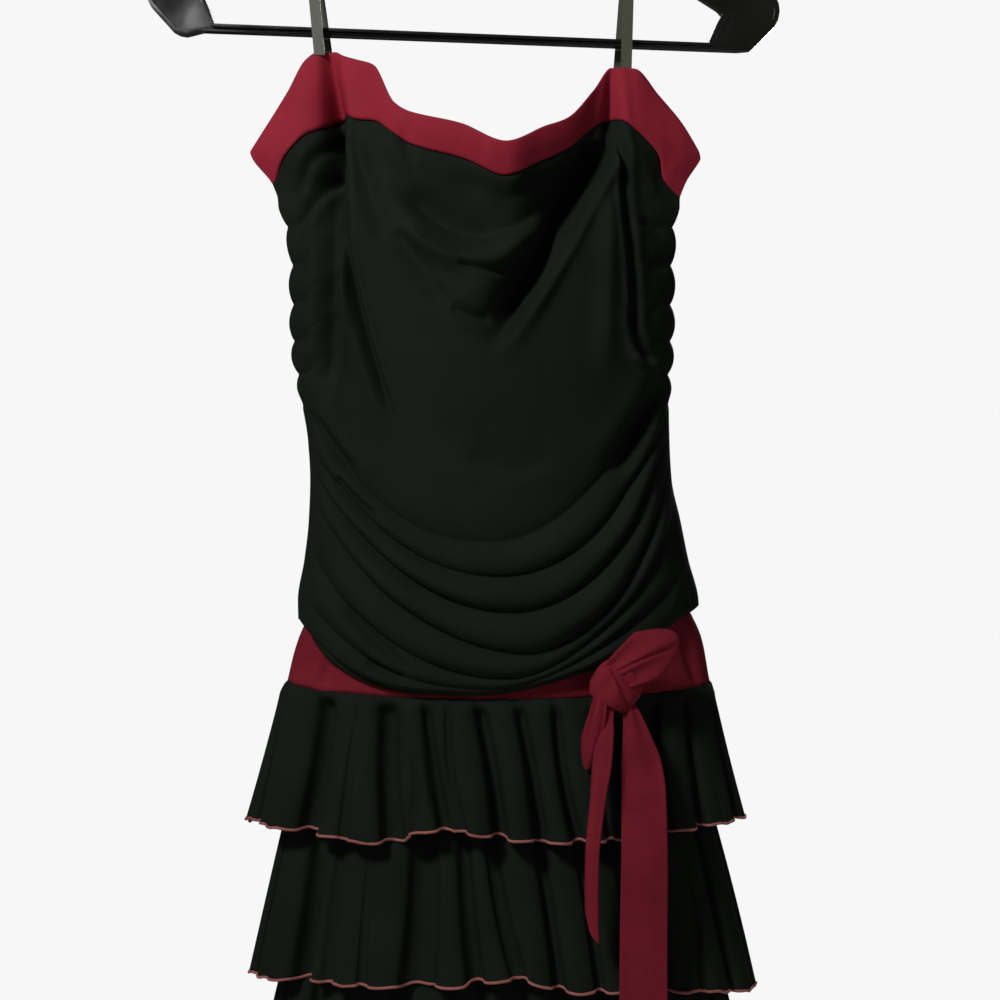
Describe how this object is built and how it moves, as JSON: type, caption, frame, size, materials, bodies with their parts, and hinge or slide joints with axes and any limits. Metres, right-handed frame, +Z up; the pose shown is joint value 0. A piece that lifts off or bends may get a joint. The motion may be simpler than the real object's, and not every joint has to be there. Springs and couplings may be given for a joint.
{
  "type": "tiered ruffle dress on a hanger",
  "caption": "Sleeveless blouson dress with a cowl neck, contrast neck band, hip sash and gathered skirt tiers, hung by thin straps on a moulded hanger.",
  "frame": {"origin": "inside top of the hanger's hook, where a rail bears on it", "axes": "+Z up along the hang of the dress, front of the dress faces -Y, +X to the viewer's right in front view"},
  "size_m": [0.4358, 0.1782, 0.933],
  "materials": {
    "jersey": "draped matte jersey",
    "ruffle_jersey": "matte jersey with a rolled coloured hem",
    "wine_satin": "soft sheen binding",
    "wine_jersey": "matte jersey sewn double",
    "strap_satin": "satin",
    "black_plastic": "moulded, half gloss"
  },
  "bodies": {
    "root": {"bodice_front": "jersey", "bodice_back": "jersey", "neck_band_front": "wine_satin", "neck_band_back": "wine_satin", "hip_band": "wine_satin", "sash_knot": "wine_jersey", "sash_loop_upper": "wine_jersey", "sash_loop_lower": "wine_jersey", "sash_tail_short": "wine_jersey", "sash_tail_long": "wine_jersey", "strap_left": "strap_satin", "strap_right": "strap_satin", "skirt_tier_1": "ruffle_jersey", "skirt_tier_2": "ruffle_jersey", "skirt_tier_3": "ruffle_jersey", "underskirt": "ruffle_jersey", "hanger": "black_plastic"}
  },
  "joints": []
}
